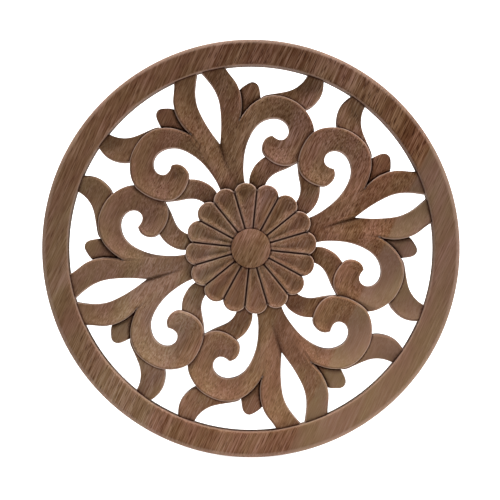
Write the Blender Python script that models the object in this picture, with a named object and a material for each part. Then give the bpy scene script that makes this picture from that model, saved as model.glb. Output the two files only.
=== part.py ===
"""Round carved wooden applique: a pierced disc cut from one board.

A flat ring carries four palmettes round a sixteen-petal rosette.
The disc stands upright in the XZ plane, its flat back on y = 0 and its carving facing -Y.
Plan sizes and heights are written in millimetres and scaled by MM when the mesh is made.
"""
import math

import bmesh
import bpy
import numpy as np
from mathutils import Vector
from mathutils.geometry import delaunay_2d_cdt
from mathutils.kdtree import KDTree

MM = 0.001

# The ring: a flat band with its front edges rounded over
RING_OUTER = 100.0
RING_INNER = 87.7
RING_FACE = 10.0
RING_SIDES = 84
OUTER_ROUND = 2.3
INNER_ROUND = 1.1
OUTER_ROUND_MIDDLE = 0.3  # share of the outer rounding at which it has a line of its own

# The four palmettes, the first one turned from straight up towards -X
PALMETTES = 4
PALMETTE_TILT = math.radians(16.49)

# The rosette: petals round a domed button, parted by straight grooves
PETALS = 16
PETAL_TIP_CENTRE = 25.66
PETAL_TIP_RADIUS = 5.74
PETAL_TIP_SIDES = 6
PETAL_RIM = 10.4
PETAL_EDGE_DROP = 0.5
PETAL_RIM_WIDTH = 0.9
PETAL_HOLLOW = 1.5
PETAL_HOLLOW_REACH = 2.6
GROOVE_HALF = 0.5
GROOVE_DEPTH = 2.8
GROOVE_END = 27.3
GROOVE_RUN_OUT = 0.5     # the groove's bottom rises to the edge over this length
PETAL_ROOT = 2.0         # from the button out to where a petal's crest lines begin
BUTTON_RADIUS = 9.25
BUTTON_TOP = 12.2
BUTTON_DROP = 1.0
BUTTON_SIDES = 32
BUTTON_CIRCLES = (1.0, 0.6)

# How the leaves and scrolls are cut
RIM_WIDTH = 1.1          # from the outer edge in to the crest
DISH_POWER = 1.6         # above 1 the dish falls steeply first, then runs out flat
STEP_WIDTH = 0.25        # plan width of the steep side of a part that lies over another
STEP_LEAST = 0.3         # a lower step than this gets no line of its own

# A part beside a higher one is cut down to this height at its edge and rises at this slope
SINK_AT_RING = (7.4, 0.45)
SINK_AT_ROSETTE = (6.2, 0.40)
SINK_AT_SCROLL = (7.3, 0.50)

# The V groove on each palmette's axis, below its eye
EYE_FOOT = 52.4
EYE_MIDDLE = 65.0
STEM_GROOVE_FOOT = 33.0
STEM_GROOVE_DEPTH = 2.6
STEM_GROOVE_HALF = 1.6

# The bud between leaf and scroll
BUD_GROOVE = 4.2
BUD_HEIGHT = 7.2
BUD_SWELL = 3.2
BUD_TIP_DROP = 0.8

# How finely the lines and the dishes are divided
CHORD_ERROR = 0.06
CHORD_LEAST = 1.4
CHORD_MOST = 4.0
ROW_SPACING = 3.8
ROW_SHARES = (0.30, 0.64)
FILL_SPACING = 5.2
POINT_CLEARANCE = 2.4
ON_EDGE = 0.04           # a point this close to an outline counts as on it
WELD = 0.12              # points closer than this become one
SHARP_FROM = math.radians(32)

# Guide lines of half a palmette, in its own plan: x away from the axis, y out from the centre.
# A rim point is x, y, height of the edge, height of the crest. A dip point is x, y, height.
FORK = (12.1, 60.3, 8.2, 8.8)
EYE_TIP = (0.0, EYE_FOOT, 6.2)
HOOK_TIP = (25.2, 49.1)
LEAF_RIM = (
    (12.4, 88.8, 6.6, 7.8), (13.5, 84.3, 7.0, 8.3), (15.9, 77.8, 7.3, 8.9), (16.2, 72.0, 7.3, 9.2),
    (14.8, 65.6, 7.3, 9.2), FORK)
STEM_CREST = (FORK, (9.6, 53.2, 8.0, 8.1), (7.2, 45.0, 7.6, 7.6), (5.3, 37.0, 7.1, 7.1),
              (4.0, 28.0, 6.4, 6.4))
EYE_DIP = (
    (0.5, 88.6, 6.6), (2.9, 83.5, 6.6), (4.75, 78.0, 6.4), (5.25, 72.5, 6.4),
    (4.5, 66.8, 6.4), (2.5, 59.1, 6.3), EYE_TIP)
AXIS_DIP = (EYE_TIP, (0.0, 42.0, 6.3), (0.0, 27.0, 6.0))
SCROLL_RIM = (
    FORK, (15.8, 63.4, 7.3, 9.3), (20.4, 66.1, 7.3, 9.4), (26.5, 67.6, 7.7, 9.4),
    (33.0, 66.5, 7.9, 9.4), (38.8, 62.7, 7.7, 9.4), (43.0, 57.7, 7.5, 9.4), (45.3, 51.0, 7.4, 9.3),
    (45.0, 45.0, 7.4, 9.3), (41.0, 38.9, 7.4, 9.3), (35.6, 34.6, 7.4, 9.3), (29.3, 32.8, 7.5, 9.3),
    (23.8, 34.9, 7.5, 9.2), (20.2, 38.6, 7.4, 9.2), (18.4, 42.6, 7.3, 9.2), (19.7, 46.7, 7.3, 9.1),
    (22.8, 48.9, 7.0, 8.5), (*HOOK_TIP, 6.5, 7.0))
SCROLL_DIP = (
    (6.2, 27.0, 6.0), (6.5, 33.3, 6.3), (8.2, 39.9, 6.4), (11.2, 46.7, 6.3), (15.4, 52.3, 6.3),
    (20.5, 56.2, 6.3), (26.3, 57.2, 6.3), (31.3, 55.3, 6.2), (33.7, 50.9, 6.1), (32.6, 47.3, 6.1),
    (29.4, 45.7, 6.1), (26.9, 46.9, 6.2), (*HOOK_TIP, 6.5))
FLARE_RIM = (
    (40.0, 57.4, 7.0, 8.0), (44.3, 56.2, 6.7, 7.9), (49.3, 57.7, 6.8, 8.3), (53.5, 60.9, 6.8, 8.3),
    (55.7, 65.0, 6.5, 7.8), (57.2, 70.0, 6.2, 7.2))
FLARE_DIP = (
    (22.6, 65.4, 7.6), (25.4, 68.0, 7.6), (30.0, 68.2, 7.4), (35.6, 67.5, 7.0), (40.5, 67.4, 6.6),
    (45.0, 68.7, 6.0), (49.4, 71.8, 5.6), (52.0, 75.5, 5.6))
SPRIG_RIM = (
    (22.5, 41.0, 7.0, 8.0), (18.4, 40.1, 6.6, 7.7), (14.0, 38.2, 6.8, 8.1), (10.7, 35.3, 6.6, 7.8),
    (8.6, 32.0, 6.2, 7.2), (7.6, 27.0, 6.0, 6.8))
SPRIG_DIP = (
    (36.0, 33.6, 7.2), (32.5, 32.9, 7.1), (27.0, 31.9, 6.8), (21.0, 31.1, 6.2), (17.6, 29.5, 5.8),
    (15.2, 27.0, 5.6), (13.5, 24.0, 5.6))
BUD_TOP = (
    (13.9, 73.0), (16.9, 74.9), (20.4, 76.1), (23.6, 76.3), (25.3, 74.8), (25.7, 71.8),
    (25.2, 68.4), (25.0, 65.5))
BUD_FOOT = ((19.0, 62.0), (13.0, 59.0), (12.0, 63.0), (13.0, 69.0))

WOOD_COLOR = (0.17, 0.092, 0.055, 1.0)
WOOD_ROUGHNESS = 0.62


# Lines in plan

def spline(guide):
    """A natural cubic spline through the guide points, divided more finely where it bends."""
    knots = np.array(guide, float)
    steps = np.linalg.norm(np.diff(knots[:, :2], axis=0), axis=1)
    system = np.eye(len(knots))
    right = np.zeros_like(knots)
    for i in range(1, len(knots) - 1):
        before, after = steps[i - 1], steps[i]
        system[i, i - 1:i + 2] = before, 2 * (before + after), after
        right[i] = 6 * ((knots[i + 1] - knots[i]) / after - (knots[i] - knots[i - 1]) / before)
    bend = np.linalg.solve(system, right)
    t = np.linspace(0, 1, 60, endpoint=False)[:, None]
    s = 1 - t
    spans = []
    for i, step in enumerate(steps):
        bulge = step ** 2 / 6 * ((s ** 3 - s) * bend[i] + (t ** 3 - t) * bend[i + 1])
        spans.append(s * knots[i] + t * knots[i + 1] + bulge)
    return divide(np.vstack(spans + [knots[-1:]]))


def divide(fine):
    """A close-set line cut into chords that stay within CHORD_ERROR of it."""
    heading = np.unwrap(np.arctan2(np.gradient(fine[:, 1]), np.gradient(fine[:, 0])))
    along = length_along(fine)
    turn = np.maximum(np.abs(np.gradient(heading, along)), 1e-6)
    chord = np.clip(np.sqrt(8 * CHORD_ERROR / turn), CHORD_LEAST, CHORD_MOST)
    pace = np.diff(along) / ((chord[1:] + chord[:-1]) / 2)
    pace = np.concatenate(([0], np.cumsum(pace)))
    marks = np.linspace(0, pace[-1], max(2, round(pace[-1])) + 1)
    return along_line(fine, np.interp(marks, pace, along))


def length_along(line):
    steps = np.linalg.norm(np.diff(line[:, :2], axis=0), axis=1)
    return np.concatenate(([0], np.cumsum(steps)))


def along_line(line, places):
    """The line's values at the given lengths along it."""
    along = length_along(line)
    return np.stack([np.interp(places, along, column) for column in line.T], 1)


def offset(line, distance, closed=False):
    """The line moved sideways in plan, to its left for a positive distance."""
    if closed:
        heading = np.roll(line, -1, 0)[:, :2] - np.roll(line, 1, 0)[:, :2]
    else:
        heading = np.gradient(line[:, :2], axis=0)
    heading = heading / np.linalg.norm(heading, axis=1)[:, None]
    moved = line.copy()
    moved[:, 0] -= heading[:, 1] * distance
    moved[:, 1] += heading[:, 0] * distance
    return moved


def area(loop):
    """Area of a closed loop, positive where it runs anticlockwise."""
    ahead = np.roll(loop, -1, 0)
    return (loop[:, 0] * ahead[:, 1] - ahead[:, 0] * loop[:, 1]).sum() / 2


def circle(radius, sides):
    """A regular loop with corners on the X and Z axes of the finished disc."""
    angles = np.arange(sides) * 2 * math.pi / sides - PALMETTE_TILT
    return radius * np.stack([np.cos(angles), np.sin(angles)], 1)


def segments(line, closed=False):
    """The line as an array of two-point runs."""
    start = line[:, :2] if closed else line[:-1, :2]
    end = np.roll(line, -1, 0)[:, :2] if closed else line[1:, :2]
    return np.stack([start, end], 1)


def level_line(start, end, y, count):
    """Points from x = start to x = end at one y."""
    return np.stack([np.linspace(start, end, count), np.full(count, y)], 1)


def nearest(points, line):
    """Distance from each point to the line, and the line's values at the nearest place."""
    start, run = line[:-1, :2], np.diff(line[:, :2], axis=0)
    reach = np.maximum((run ** 2).sum(1), 1e-12)
    gap = points[:, None] - start
    t = np.clip((gap * run).sum(2) / reach, 0, 1)
    far = ((gap - t[..., None] * run) ** 2).sum(2)
    pick = far.argmin(1)
    rows = np.arange(len(points))
    t = t[rows, pick][:, None]
    return np.sqrt(far[rows, pick]), line[pick] * (1 - t) + line[pick + 1] * t


def inside(points, loop):
    """Whether each point lies in the closed loop or on its edge."""
    x, y = points[:, :1], points[:, 1:]
    x0, y0 = loop.T
    x1, y1 = np.roll(loop, -1, 0).T
    crosses = (y0 > y) != (y1 > y)
    slope = (x1 - x0) / np.where(y1 == y0, 1, y1 - y0)
    odd = (crosses & (x < (y - y0) * slope + x0)).sum(1) % 2 == 1
    return odd | (nearest(points, np.vstack([loop, loop[:1]]))[0] < ON_EDGE)


# Heights above the flat back

def sunk(height, distance, sink):
    """The height, cut down towards the higher part that starts at distance 0."""
    floor, slope = sink
    return np.minimum(height, floor + slope * np.maximum(distance, 0))


def dished(points, rim, dip):
    """A crest just inside the rim, then a hollow that falls away to the dip line."""
    from_rim, rim_at = nearest(points, rim)
    from_dip, dip_at = nearest(points, dip)
    edge, crest, foot = rim_at[:, 2], rim_at[:, 3], dip_at[:, 2]
    lip = np.clip(from_rim / RIM_WIDTH, 0, 1)
    past = np.maximum(from_rim - RIM_WIDTH, 0)
    share = past / np.maximum(past + from_dip, 1e-6)
    hollow = foot + (crest - foot) * (1 - share) ** DISH_POWER
    return np.where(lip < 1, edge + (crest - edge) * np.sin(lip * math.pi / 2), hollow)


def radius_of(points):
    return np.linalg.norm(points, axis=1)


class Ring:
    """The flat band round the outside."""

    def covers(self, points):
        radius = radius_of(points)
        flat = math.cos(math.pi / RING_SIDES)
        return (radius > RING_INNER * flat - ON_EDGE) & (radius < RING_OUTER + ON_EDGE)

    def height(self, points):
        radius = radius_of(points)
        outer = np.clip((radius - RING_OUTER) / OUTER_ROUND + 1, 0, 1)
        inner = np.clip((RING_INNER - radius) / INNER_ROUND + 1, 0, 1)
        drop = OUTER_ROUND * (1 - np.sqrt(1 - outer ** 2))
        return RING_FACE - drop - INNER_ROUND * (1 - np.sqrt(1 - inner ** 2))

    def outline(self):
        return np.vstack([segments(circle(r, RING_SIDES), True) for r in (RING_OUTER, RING_INNER)])

    def creases(self):
        part_way = RING_OUTER - OUTER_ROUND_MIDDLE * OUTER_ROUND
        radii = (part_way, RING_OUTER - OUTER_ROUND, RING_INNER + INNER_ROUND)
        return np.vstack([segments(circle(r, RING_SIDES), True) for r in radii])

    def foot(self):
        return segments(circle(RING_INNER - STEP_WIDTH, RING_SIDES), True)

    def rows(self):
        return np.empty((0, 2))


class Rosette:
    """Hollowed petals with straight grooves between them, round a domed button."""

    half_pitch = math.pi / PETALS

    def edge_radius(self, angle):
        """Radius of the scalloped outline at an angle from a petal's middle."""
        side = PETAL_TIP_CENTRE * np.sin(angle)
        return PETAL_TIP_CENTRE * np.cos(angle) + np.sqrt(PETAL_TIP_RADIUS ** 2 - side ** 2)

    def from_middle(self, points):
        """Angle of each point from the middle of its petal. A groove lies on each axis."""
        angle = np.arctan2(points[:, 1], points[:, 0])
        return angle % (2 * self.half_pitch) - self.half_pitch

    def covers(self, points):
        return radius_of(points) < self.edge_radius(self.from_middle(points)) + ON_EDGE

    def height(self, points):
        radius = radius_of(points)
        angle = self.from_middle(points)
        from_groove = radius * np.sin(self.half_pitch - np.abs(angle))
        out = radius * np.cos(angle) - PETAL_TIP_CENTRE
        from_tip = PETAL_TIP_RADIUS - np.hypot(out, radius * np.sin(angle))
        to_side = from_groove - GROOVE_HALF
        inward = np.maximum(np.where(out > 0, np.minimum(from_tip, to_side), to_side), 0)
        lip = np.clip(inward / PETAL_RIM_WIDTH, 0, 1)
        reach = np.clip((inward - PETAL_RIM_WIDTH) / PETAL_HOLLOW_REACH, 0, 1)
        petal = PETAL_RIM - PETAL_EDGE_DROP * (1 - lip) ** 2
        petal -= PETAL_HOLLOW * np.sin(reach * math.pi / 2)
        petal -= GROOVE_DEPTH * np.clip(-to_side / GROOVE_HALF, 0, 1)
        button = BUTTON_TOP - BUTTON_DROP * (radius / BUTTON_RADIUS) ** 2
        return np.where(radius < BUTTON_RADIUS + ON_EDGE, button, petal)

    def all_round(self, runs):
        """The runs of one petal, whose middle is on +X, repeated at every petal."""
        copies = []
        for k in range(PETALS):
            angle = (2 * k + 1) * self.half_pitch
            turn = np.array(((math.cos(angle), math.sin(angle)), (-math.sin(angle), math.cos(angle))))
            copies.append(runs @ turn)
        return np.vstack(copies)

    def scallop(self, grow=0.0):
        angles = np.linspace(-1, 1, PETAL_TIP_SIDES + 1) * self.half_pitch
        radius = self.edge_radius(angles) + grow
        return np.stack([radius * np.cos(angles), radius * np.sin(angles)], 1)

    def outline(self):
        return self.all_round(segments(self.scallop()))

    def foot(self):
        return self.all_round(segments(self.scallop(STEP_WIDTH)))

    def creases(self):
        """Groove, crest and middle lines of each petal, and the button's circles."""
        start = BUTTON_RADIUS + STEP_WIDTH
        c, s = math.cos(self.half_pitch), math.sin(self.half_pitch)
        on_axis = np.array(((c, s), (-s, c)))
        groove_turn = math.asin(GROOVE_HALF / start)
        inset = GROOVE_HALF + PETAL_RIM_WIDTH
        groove = level_line(start, GROOVE_END + GROOVE_RUN_OUT, 0, 3) @ on_axis
        side = level_line(start * math.cos(groove_turn), GROOVE_END, -GROOVE_HALF, 4) @ on_axis
        flank = level_line(start + PETAL_ROOT, PETAL_TIP_CENTRE, -inset, 4) @ on_axis
        middle = level_line(start + PETAL_ROOT, PETAL_TIP_CENTRE + 1, 0, 5)
        round_tip = np.linspace(1, -1, 5)
        bow = PETAL_TIP_RADIUS - inset
        tip = np.stack([PETAL_TIP_CENTRE + bow * np.cos(round_tip), bow * np.sin(round_tip)], 1)
        flip = np.array((1, -1))
        edge = 1 - groove_turn / self.half_pitch
        at_root = np.array((-1, -edge, 0, edge, 1)) * self.half_pitch
        root = start * np.stack([np.cos(at_root), np.sin(at_root)], 1)
        crest = np.vstack([flank, tip, (flank * flip)[::-1]])
        lines = (groove, side, side * flip, root, middle, crest)
        petal = np.vstack([segments(line) for line in lines])
        circles = [segments(circle(BUTTON_RADIUS * share, BUTTON_SIDES), True) for share in BUTTON_CIRCLES]
        return np.vstack([self.all_round(petal)] + circles)

    def rows(self):
        """The button's middle."""
        return np.zeros((1, 2))


class Carving:
    """One part of half a palmette: a crest inside its rim, dished down to its dip line."""

    def __init__(self, rim, dip, at_ring=False, at_rosette=False):
        self.rim, self.dip = rim, dip
        self.at_ring, self.at_rosette = at_ring, at_rosette
        self.loop = np.vstack([rim[:, :2], dip[::-1, :2]])

    def height(self, points):
        height = dished(points, self.rim, self.dip)
        radius = radius_of(points)
        if self.at_ring:
            height = sunk(height, RING_INNER - radius, SINK_AT_RING)
        if self.at_rosette:
            away = radius - PETAL_TIP_CENTRE - PETAL_TIP_RADIUS
            height = sunk(height, away, SINK_AT_ROSETTE)
        return height

    def creases(self):
        """The line along the crest, where the crest stands over the edge."""
        middle = len(self.rim) // 2
        crest = offset(self.rim, RIM_WIDTH)
        if not inside(crest[middle:middle + 1, :2], self.loop)[0]:
            crest = offset(self.rim, -RIM_WIDTH)
        proud = crest[:, 3] - crest[:, 2] > STEP_LEAST
        return segments(crest)[proud[:-1] & proud[1:]]

    def rows(self):
        """Points across the dish, in rows along the rim."""
        start = along_line(self.rim, np.arange(ROW_SPACING / 2, length_along(self.rim)[-1], ROW_SPACING))
        start = start[:, :2]
        across = nearest(start, self.dip)[1][:, :2] - start
        return np.vstack([start + across * share for share in ROW_SHARES])


class Leaf(Carving):
    """Half of the eye leaf, with half of the V groove below the eye."""

    def height(self, points):
        rise = (points[:, 1] - STEM_GROOVE_FOOT) / (EYE_FOOT - STEM_GROOVE_FOOT)
        fade = np.where(points[:, 1] > EYE_MIDDLE, 0, np.clip(rise, 0, 1))
        across = np.clip(1 - points[:, 0] / STEM_GROOVE_HALF, 0, 1)
        return super().height(points) - STEM_GROOVE_DEPTH * fade * across


class UnderScroll(Carving):
    """The scroll that dips under its neighbour where the two cross."""

    def height(self, points):
        neighbour = self.rim[:, [1, 0]]
        return sunk(super().height(points), nearest(points, neighbour)[0], SINK_AT_SCROLL)


class Bud:
    """The rounded bud between the leaf and the scroll, with a groove along each of them."""

    def __init__(self, leaf, scroll):
        self.top = spline(BUD_TOP)
        self.loop = np.vstack([self.top, BUD_FOOT])
        self.beside = (leaf.rim[:, :2], scroll.rim[:, :2])

    def height(self, points):
        away = np.minimum(*(nearest(points, line)[0] for line in self.beside))
        swell = np.sin(np.clip(away / BUD_SWELL, 0, 1) * math.pi / 2)
        tip = np.clip(1 - nearest(points, self.top)[0], 0, 1)
        return BUD_GROOVE + (BUD_HEIGHT - BUD_GROOVE) * swell - BUD_TIP_DROP * tip ** 2

    def creases(self):
        return np.empty((0, 2, 2))

    def rows(self):
        return np.empty((0, 2))


class Placed:
    """A part of half a palmette at one of its eight places round the disc."""

    def __init__(self, part, quarter, mirrored):
        self.part = part
        angle = quarter * 2 * math.pi / PALMETTES
        side = -1 if mirrored else 1
        self.turn = np.array(((side * math.cos(angle), side * math.sin(angle)),
                              (-math.sin(angle), math.cos(angle))))

    def own(self, points):
        """Points of the disc, as seen in the part's own plan."""
        return points @ self.turn.T

    def covers(self, points):
        return inside(self.own(points), self.part.loop)

    def height(self, points):
        return self.part.height(self.own(points))

    def outline(self):
        return segments(self.part.loop, True) @ self.turn

    def creases(self):
        return self.part.creases() @ self.turn

    def foot(self):
        """The foot of the steep side round the part."""
        loop = self.part.loop
        outward = -STEP_WIDTH if area(loop) > 0 else STEP_WIDTH
        return segments(offset(loop, outward, closed=True), True) @ self.turn

    def rows(self):
        return self.part.rows() @ self.turn


def make_layers():
    """Every part of the disc, the uppermost first."""
    stem = spline(STEM_CREST)
    leaf_rim = np.vstack([spline(LEAF_RIM)[:-1], stem])
    leaf_dip = np.vstack([spline(EYE_DIP)[:-1], spline(AXIS_DIP)])
    scroll_rim = np.vstack([stem[:0:-1], spline(SCROLL_RIM)])
    scroll_dip = spline(SCROLL_DIP)
    leaf = Leaf(leaf_rim, leaf_dip, at_ring=True, at_rosette=True)
    over = Carving(scroll_rim, scroll_dip[:-1], at_rosette=True)
    under = UnderScroll(scroll_rim, scroll_dip[:-1], at_rosette=True)
    bud = Bud(leaf, over)
    flare = Carving(spline(FLARE_RIM), spline(FLARE_DIP), at_ring=True)
    sprig = Carving(spline(SPRIG_RIM), spline(SPRIG_DIP), at_rosette=True)
    layers = [Ring(), Rosette()]
    layers += [Placed(over, quarter, True) for quarter in range(PALMETTES)]
    layers += [Placed(under, quarter, False) for quarter in range(PALMETTES)]
    for part in (leaf, bud, flare, sprig):
        for quarter in range(PALMETTES):
            layers += [Placed(part, quarter, False), Placed(part, quarter, True)]
    return layers


# The surface

def uppermost(points, layers):
    """Index of the first layer that covers each point, or -1 in a gap."""
    found = np.full(len(points), -1)
    for index, layer in enumerate(layers):
        open_points = np.flatnonzero(found < 0)
        found[open_points[layer.covers(points[open_points])]] = index
    return found


def surface(points, layers):
    """Height of the carved front at each point."""
    found = uppermost(points, layers)
    height = np.zeros(len(points))
    for index, layer in enumerate(layers):
        mine = found == index
        if mine.any():
            height[mine] = layer.height(points[mine])
    return height


def seen_lines(layers):
    """The lines of every layer, wherever no higher layer hides them."""
    kept = []
    for index, layer in enumerate(layers):
        for lines in (layer.outline(), layer.creases()):
            if len(lines):
                ends = uppermost(lines.reshape(-1, 2), layers).reshape(-1, 2)
                kept.append(lines[(ends == index).any(1)])
        foot = layer.foot()
        places = foot.reshape(-1, 2)
        below = uppermost(places, layers)
        step = layer.height(places) - surface(places, layers)
        steep = ((below > index) & (step > STEP_LEAST)).reshape(-1, 2)
        kept.append(foot[steep.any(1)])
    return np.vstack(kept)


def thinned(candidates, taken):
    """The candidates that keep clear of the taken points and of each other."""
    kept = list(taken)
    count = len(kept)
    room = np.array(kept + [(0.0, 0.0)] * len(candidates))
    for point in candidates:
        if ((room[:count] - point) ** 2).sum(1).min() > POINT_CLEARANCE ** 2:
            room[count] = point
            count += 1
    return room[len(taken):count]


def fill_points(layers, taken):
    """Points within the parts: rows along the rims first, then an even scatter."""
    rows = [layer.rows() for layer in layers]
    own = np.repeat(np.arange(len(layers)), [len(points) for points in rows])
    rows = np.vstack(rows)
    rows = rows[uppermost(rows, layers) == own]
    pitch = np.arange(-RING_INNER, RING_INNER, FILL_SPACING)
    x, y = np.meshgrid(pitch, pitch)
    scatter = np.stack([x.ravel(), y.ravel()], 1)
    found = uppermost(scatter, layers)
    return thinned(np.vstack([rows, scatter[found > 0]]), taken)


def welded(points):
    """The points with close ones left out, and where each old point went."""
    tree = KDTree(len(points))
    for i, point in enumerate(points):
        tree.insert((*point, 0), i)
    tree.balance()
    goes_to = np.full(len(points), -1)
    kept = []
    for i, point in enumerate(points):
        if goes_to[i] < 0:
            for _, near, _ in tree.find_range((*point, 0), WELD):
                if goes_to[near] < 0:
                    goes_to[near] = len(kept)
            kept.append(point)
    return np.array(kept), goes_to


def triangulate(points, edges):
    result = delaunay_2d_cdt([Vector(p) for p in points], edges, [], 0, 1e-3)
    return np.array([tuple(v) for v in result[0]]), np.array(result[2])


def front_surface(layers):
    """Plan points and triangles of the carved front, gaps left open."""
    lines = seen_lines(layers)
    ends, goes_to = welded(lines.reshape(-1, 2))
    edges = goes_to.reshape(-1, 2)
    edges = edges[edges[:, 0] != edges[:, 1]]
    points = np.vstack([ends, fill_points(layers, ends)])
    points, triangles = triangulate(points, edges.tolist())
    middles = points[triangles].mean(1)
    return points, triangles[uppermost(middles, layers) >= 0]


def border(triangles):
    """Edges that have a triangle on one side only, in that triangle's order."""
    sides = np.vstack([triangles[:, (0, 1)], triangles[:, (1, 2)], triangles[:, (2, 0)]])
    known = {tuple(side) for side in sides.tolist()}
    return [side for side in known if side[::-1] not in known]


def build_applique():
    layers = make_layers()
    points, triangles = front_surface(layers)
    rim = border(triangles)
    rim_points = sorted({i for side in rim for i in side})
    below = {i: len(points) + k for k, i in enumerate(rim_points)}
    to_rim = {i: k for k, i in enumerate(rim_points)}
    back_edges = [(to_rim[a], to_rim[b]) for a, b in rim]
    back, back_triangles = triangulate(points[rim_points], back_edges)
    wood = uppermost(back[back_triangles].mean(1), layers) >= 0
    plan = np.vstack([points, points[rim_points]])
    height = np.concatenate([surface(points, layers), np.zeros(len(rim_points))])
    faces = [tuple(t) for t in triangles.tolist()]
    faces += [(a, below[a], below[b], b) for a, b in rim]
    faces += [tuple(len(points) + i for i in t[::-1]) for t in back_triangles[wood].tolist()]
    c, s = math.cos(PALMETTE_TILT), math.sin(PALMETTE_TILT)
    x, z = plan[:, 0] * c - plan[:, 1] * s, plan[:, 0] * s + plan[:, 1] * c
    places = np.stack([x, -height, z], 1) * MM
    used = sorted({i for face in faces for i in face})
    place_of = {i: k for k, i in enumerate(used)}
    mesh = bpy.data.meshes.new("applique")
    mesh.from_pydata(places[used].tolist(), [], [[place_of[i] for i in face] for face in faces])
    solid = bmesh.new()
    solid.from_mesh(mesh)
    bmesh.ops.remove_doubles(solid, verts=solid.verts, dist=WELD * MM)
    solid.to_mesh(mesh)
    solid.free()
    mesh.shade_smooth()
    mesh.set_sharp_from_angle(angle=SHARP_FROM)
    return mesh


def wood_material():
    material = bpy.data.materials.new("wood")
    material.use_nodes = True
    shader = material.node_tree.nodes["Principled BSDF"]
    shader.inputs["Base Color"].default_value = WOOD_COLOR
    shader.inputs["Roughness"].default_value = WOOD_ROUGHNESS
    return material


def main():
    for thing in list(bpy.data.objects):
        bpy.data.objects.remove(thing, do_unlink=True)
    applique = bpy.data.objects.new("applique", build_applique())
    applique.data.materials.append(wood_material())
    bpy.context.scene.collection.objects.link(applique)


main()
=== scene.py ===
# %% [markdown]
# # A round carved applique
#
# The real thing is a pierced disc of brown wood, 200 mm across, made to be glued on a door or a
# headboard. A plain ring holds four palmettes round a sixteen-petal rosette. This lesson loads the
# plain CAD solid, carves a finer one that stands in for it, and gives it raw wood and soft light.

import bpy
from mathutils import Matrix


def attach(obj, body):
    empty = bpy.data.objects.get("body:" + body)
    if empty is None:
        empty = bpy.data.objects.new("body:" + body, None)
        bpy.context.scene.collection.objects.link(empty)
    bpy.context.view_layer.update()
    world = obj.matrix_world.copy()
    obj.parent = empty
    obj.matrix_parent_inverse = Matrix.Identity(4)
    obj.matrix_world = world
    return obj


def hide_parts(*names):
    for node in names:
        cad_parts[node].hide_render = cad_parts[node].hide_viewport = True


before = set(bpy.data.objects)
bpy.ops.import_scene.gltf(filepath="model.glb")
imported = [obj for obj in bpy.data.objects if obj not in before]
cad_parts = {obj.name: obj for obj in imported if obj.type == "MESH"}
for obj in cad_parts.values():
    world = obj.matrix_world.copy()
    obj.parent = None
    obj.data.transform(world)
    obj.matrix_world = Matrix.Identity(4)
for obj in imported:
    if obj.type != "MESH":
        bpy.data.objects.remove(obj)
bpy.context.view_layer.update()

# %% Tools
import math

import bmesh
import bpy
import numpy as np
from mathutils import Vector
from mathutils.geometry import delaunay_2d_cdt
from mathutils.kdtree import KDTree

MM = 0.001


def in_mm(length):
    """A length in millimetres, in words for a print."""
    return f"{length:.2f} mm"


print("Blender", bpy.app.version_string)

# %% [markdown]
# ## Sizes
#
# A carver marks the board out in plan and then works by depth, so the sizes here are of those two
# kinds: places in the plan, and heights above the flat back. All are in millimetres. The plan has
# its first palmette straight up, and the finished disc is turned a little from it. A narrow size,
# such as the width of a rim or the depth of a groove, comes later, in the cell that first cuts it.

# %% Sizes of the ring, the palmettes and the rosette
RING_OUTER = 100.0
RING_INNER = 87.7
RING_FACE = 10.0
OUTER_ROUND = 2.3
INNER_ROUND = 1.1

PALMETTES = 4
PALMETTE_TILT = math.radians(16.49)
HALF_SECTOR = math.pi / PALMETTES

PETALS = 16
HALF_PETAL = math.pi / PETALS
PETAL_TIP_CENTRE = 25.66
PETAL_TIP_RADIUS = 5.74
ROSETTE_REACH = PETAL_TIP_CENTRE + PETAL_TIP_RADIUS
BUTTON_RADIUS = 9.25
print("ring band", in_mm(RING_OUTER - RING_INNER), "wide")
print("rosette", in_mm(2 * ROSETTE_REACH), "across")

# %% [markdown]
# ## Guide lines
#
# Every scroll and leaf of a palmette is drawn as two lines: its rim, where the wood stands high,
# and its dip, where the hollow runs out. Only half a palmette is drawn, because the other half is
# its mirror image. A few guide points and a smooth curve through them are enough, as with the bent
# batten that a carver draws along. A rim point is x, y, height of the edge, height of the crest.
# A dip point is x, y, height.

# %% Guide points of half a palmette
EYE_FOOT = 52.4
FORK = (12.1, 60.3, 8.2, 8.8)
EYE_TIP = (0.0, EYE_FOOT, 6.2)
HOOK_TIP = (25.2, 49.1)
LEAF_RIM = (
    (12.4, 88.8, 6.6, 7.8), (13.5, 84.3, 7.0, 8.3), (15.9, 77.8, 7.3, 8.9), (16.2, 72.0, 7.3, 9.2),
    (14.8, 65.6, 7.3, 9.2), FORK)
STEM_CREST = (FORK, (9.6, 53.2, 8.0, 8.1), (7.2, 45.0, 7.6, 7.6), (5.3, 37.0, 7.1, 7.1),
              (4.0, 28.0, 6.4, 6.4))
EYE_DIP = (
    (0.5, 88.6, 6.6), (2.9, 83.5, 6.6), (4.75, 78.0, 6.4), (5.25, 72.5, 6.4),
    (4.5, 66.8, 6.4), (2.5, 59.1, 6.3), EYE_TIP)
AXIS_DIP = (EYE_TIP, (0.0, 42.0, 6.3), (0.0, 27.0, 6.0))
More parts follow.
